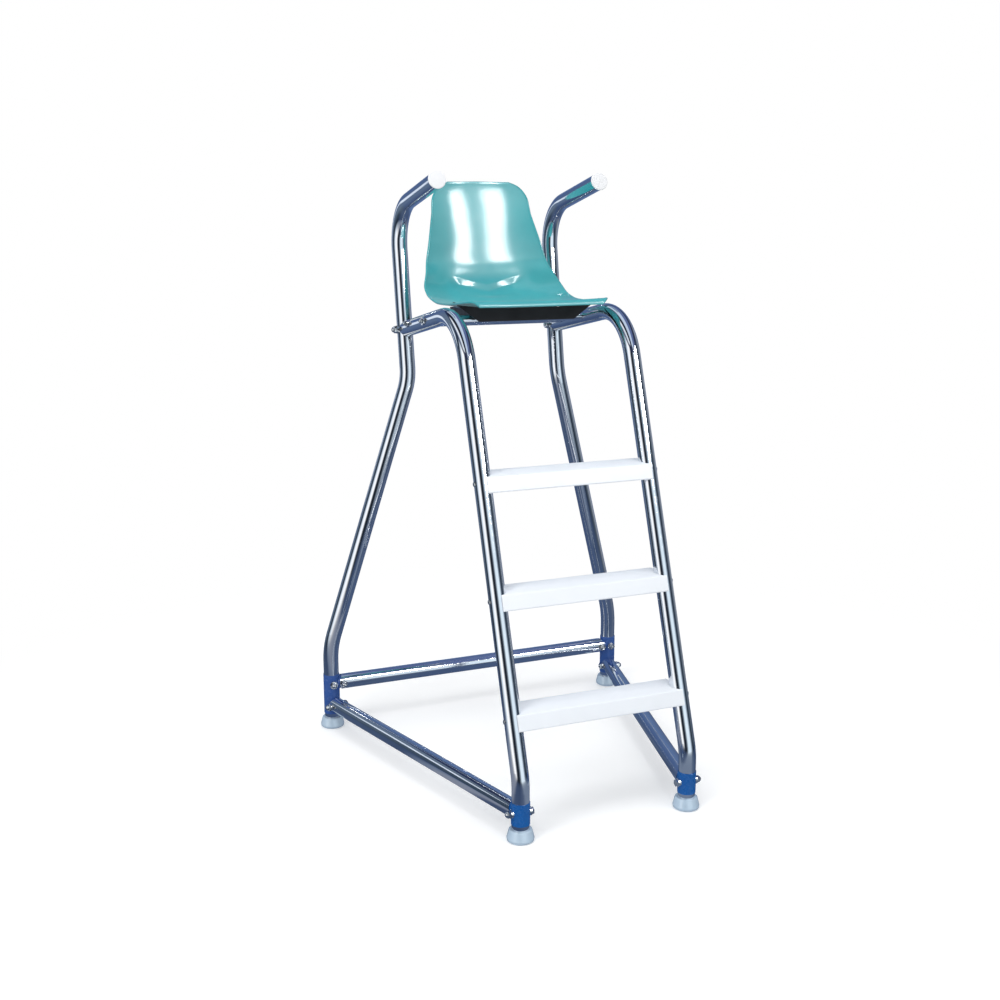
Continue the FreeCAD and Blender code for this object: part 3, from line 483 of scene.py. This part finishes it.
# colours round the room, by azimuth from the camera's side in degrees
ROUND = (
    (-180, (0.12, 0.19, 0.36)), (-150, (0.08, 0.13, 0.27)), (-118, (0.14, 0.19, 0.26)),
    (-98, (0.05, 0.075, 0.11)), (-84, (0.015, 0.025, 0.045)), (-66, (0.75, 0.85, 0.95)),
    (-56, (1.15, 1.15, 1.15)), (-40, (1.15, 1.15, 1.15)), (-24, (0.03, 0.04, 0.055)),
    (-8, (0.004, 0.007, 0.013)), (4, (0.14, 0.17, 0.21)), (20, (0.85, 0.97, 1.05)),
    (46, (0.85, 0.97, 1.05)), (60, (0.22, 0.28, 0.35)), (74, (0.012, 0.02, 0.035)),
    (98, (0.10, 0.13, 0.17)), (125, (0.32, 0.35, 0.40)), (150, (0.10, 0.15, 0.28)),
    (180, (0.12, 0.19, 0.36)),
)
# colours overhead, by distance to the right in metres
OVERHEAD = (
    (-6, (0.2, 0.25, 0.35)), (-4.6, (0.9, 0.95, 1.0)), (-3.9, (0.9, 0.95, 1.0)),
    (-3.1, (0.012, 0.016, 0.03)), (-1.7, (0.012, 0.016, 0.03)), (-0.9, (0.6, 0.7, 0.85)),
    (0.6, (0.6, 0.7, 0.85)), (1.6, (0.10, 0.14, 0.30)), (3.2, (0.13, 0.18, 0.36)),
    (4.6, (0.03, 0.04, 0.08)), (6, (0.03, 0.04, 0.08)),
)
HIGH_DARK = (0.018, 0.026, 0.075)
FLOOR_BLUE = (0.085, 0.13, 0.245)
# where one look turns into the next, each as (start, end, first share, last share):
# brightness of the walls and blue of the floor by distance from the chair, dark belt and
# ceiling by height
WALL_BRIGHTNESS = (0.6, 4.4, 0.42, 1)
FLOOR_SHARE = (0.7, 2.8, 0.62, 0)
BELT_SHARE = (4.6, 5.1, 0, 0.88)
CEILING_SHARE = (5.6, 6.4, 0, 1)
# bright patches on the wall, seen as the streaks along the arms, grips and side tubes:
# azimuth from the camera's side and half width in degrees, bottom and top in metres
PATCHES = ((-135.5, 5.5, 0.5, 1.75), (-107, 8, 2.0, 3.2))
PATCH_COLOUR = (0.8, 0.88, 1.0)
# soft edges of the patches, as a share of a full turn and in metres
PATCH_SIDE_EDGE, PATCH_LEVEL_EDGE = 0.005, 0.15
ROOM_RADIUS = 6
ROOM_HEIGHT = 6.5
ROOM_SIDES = 96
# the drum's pinched middle, and its floor's height over the real floor
ROOM_HUB, ROOM_BASE = 0.001, 0.002


def ramp_of(tree, value, stops):
    """Colours along a value that runs from 0 at the first stop to 1 at the last."""
    ramp = tree.nodes.new("ShaderNodeValToRGB")
    ramp.color_ramp.interpolation = "EASE"
    elements = ramp.color_ramp.elements
    while len(elements) < len(stops):
        elements.new(0.5)
    low, high = stops[0][0], stops[-1][0]
    for element, (stop, colour) in zip(elements, stops):
        element.position = (stop - low) / (high - low)
        element.color = (*colour, 1)
    tree.links.new(value, ramp.inputs["Fac"])
    return ramp.outputs["Color"]


def glow(tree, colour, strength=1.0):
    """Light given off, its colour and strength numbers or outputs."""
    node = tree.nodes.new("ShaderNodeEmission")
    if isinstance(colour, tuple):
        node.inputs["Color"].default_value = (*colour, 1)
    else:
        tree.links.new(colour, node.inputs["Color"])
    if isinstance(strength, float):
        node.inputs["Strength"].default_value = strength
    else:
        tree.links.new(strength, node.inputs["Strength"])
    return node.outputs[0]


def blended(tree, factor, first, second):
    """The first light where the factor is nought, the second where it is one."""
    node = tree.nodes.new("ShaderNodeMixShader")
    for index, output in enumerate((factor, first, second)):
        tree.links.new(output, node.inputs[index])
    return node.outputs[0]


def room_material():
    """Light the drum gives off: walls by direction, a darker floor, belt, ceiling and patches."""
    material = bpy.data.materials.new("room")
    material.use_nodes = True
    tree = material.node_tree
    tree.nodes.remove(tree.nodes["Principled BSDF"])
    place = position_of(tree)
    reach = reach_of(tree, place)
    turn = maths(tree, "ARCTAN2", place["X"], maths(tree, "MULTIPLY", place["Y"], -1))
    turn = maths(tree, "DIVIDE", maths(tree, "SUBTRACT", turn, math.radians(CAMERA_AZIMUTH)),
                 2 * math.pi)
    # the camera's side is at a half, and the joint straight behind the chair from it
    turn = maths(tree, "FRACT", maths(tree, "ADD", turn, 1.5))
    across = maths(tree, "ADD", maths(tree, "DIVIDE", place["X"], 2 * ROOM_RADIUS), 0.5)
    light = glow(tree, ramp_of(tree, turn, ROUND), between(tree, reach, *WALL_BRIGHTNESS))
    light = blended(tree, between(tree, reach, *FLOOR_SHARE), light, glow(tree, FLOOR_BLUE))
    light = blended(tree, between(tree, place["Z"], *BELT_SHARE), light, glow(tree, HIGH_DARK))
    light = blended(tree, between(tree, place["Z"], *CEILING_SHARE), light,
                    glow(tree, ramp_of(tree, across, OVERHEAD)))
    for azimuth, half, bottom, top in PATCHES:
        start, end = (azimuth - half) / 360 + 0.5, (azimuth + half) / 360 + 0.5
        patch = maths(tree, "MULTIPLY", window(tree, turn, start, end, PATCH_SIDE_EDGE),
                      window(tree, place["Z"], bottom, top, PATCH_LEVEL_EDGE))
        light = blended(tree, patch, light, glow(tree, PATCH_COLOUR))
    tree.links.new(light, tree.nodes["Material Output"].inputs["Surface"])
    return material


def glossy_only(item):
    """Hides an item from everything but glossy reflections."""
    item.visible_camera = False
    item.visible_diffuse = False
    item.visible_shadow = False
    item.visible_transmission = False
    item.visible_volume_scatter = False


def room():
    """A drum round the chair, seen by nothing but reflections."""
    bm = bmesh.new()
    outline = ((ROOM_HUB, ROOM_BASE), (ROOM_RADIUS, ROOM_BASE), (ROOM_RADIUS, ROOM_HEIGHT),
               (ROOM_HUB, ROOM_HEIGHT))
    add_skin(bm, [circle(0, 0, height, radius, ROOM_SIDES) for radius, height in outline])
    item = object_of("room", bm, room_material())
    glossy_only(item)


room()


def lamp(name, aim, azimuth, elevation, distance, width, height, power, gloss):
    """A rectangular lamp turned to a point of the chair."""
    light = bpy.data.lights.new(name, "AREA")
    light.shape = "RECTANGLE"
    light.size = width
    light.size_y = height
    light.energy = power
    item = bpy.data.objects.new(name, light)
    bpy.context.collection.objects.link(item)
    item.location = from_chair(aim, azimuth, elevation, distance)
    item.rotation_euler = (aim - item.location).to_track_quat("-Z", "Y").to_euler()
    item.visible_glossy = gloss
    return item


MIDDLE = Vector((0, 0, 0.9))
SEAT_BACK = Vector((0, 0.4, 1.6))
# the two long highlights on the seat's back: name, azimuth, width and power
STRIPS = (("strip_right", 34.5, 0.62, 64), ("strip_middle", 16.3, 0.76, 76))
for name, azimuth, width, power in STRIPS:
    strip = lamp(name, SEAT_BACK, azimuth, elevation=20.5, distance=4.6, width=width, height=1.2,
                 power=power, gloss=True)
    strip.visible_diffuse = False
lamp("key", MIDDLE, CAMERA_AZIMUTH - 40, elevation=40, distance=4.5, width=1.6, height=2.4,
     power=60, gloss=False)
lamp("top", MIDDLE, azimuth=0, elevation=80, distance=4.0, width=2.4, height=2.4, power=60,
     gloss=False)

# the world is plain white to the camera and a little less to the chair
WORLD_FILL = 0.72
world = bpy.data.worlds.new("studio")
bpy.context.scene.world = world
world.use_nodes = True
tree = world.node_tree
rays = tree.nodes.new("ShaderNodeLightPath")
tree.links.new(between(tree, rays.outputs["Is Camera Ray"], 0, 1, WORLD_FILL, 1),
               tree.nodes["Background"].inputs["Strength"])
tree.nodes["Background"].inputs["Color"].default_value = (1, 1, 1, 1)

scene = bpy.context.scene
scene.view_settings.view_transform = "Standard"


# Camera: where the photograph was taken from

CAMERA_PLACE = (-1.51926, -3.36194, 1.61871)
CAMERA_PITCH = -12.444
FOCAL_PIXELS = 1288.04
PICTURE_PIXELS = 1000
SENSOR_MM = 36.0

camera_data = bpy.data.cameras.new("camera")
camera_data.sensor_width = SENSOR_MM
camera_data.lens = FOCAL_PIXELS / PICTURE_PIXELS * SENSOR_MM
camera = bpy.data.objects.new("camera", camera_data)
bpy.context.collection.objects.link(camera)
camera.location = CAMERA_PLACE
camera.rotation_euler = (math.radians(90 + CAMERA_PITCH), 0, math.radians(CAMERA_AZIMUTH))
scene.camera = camera
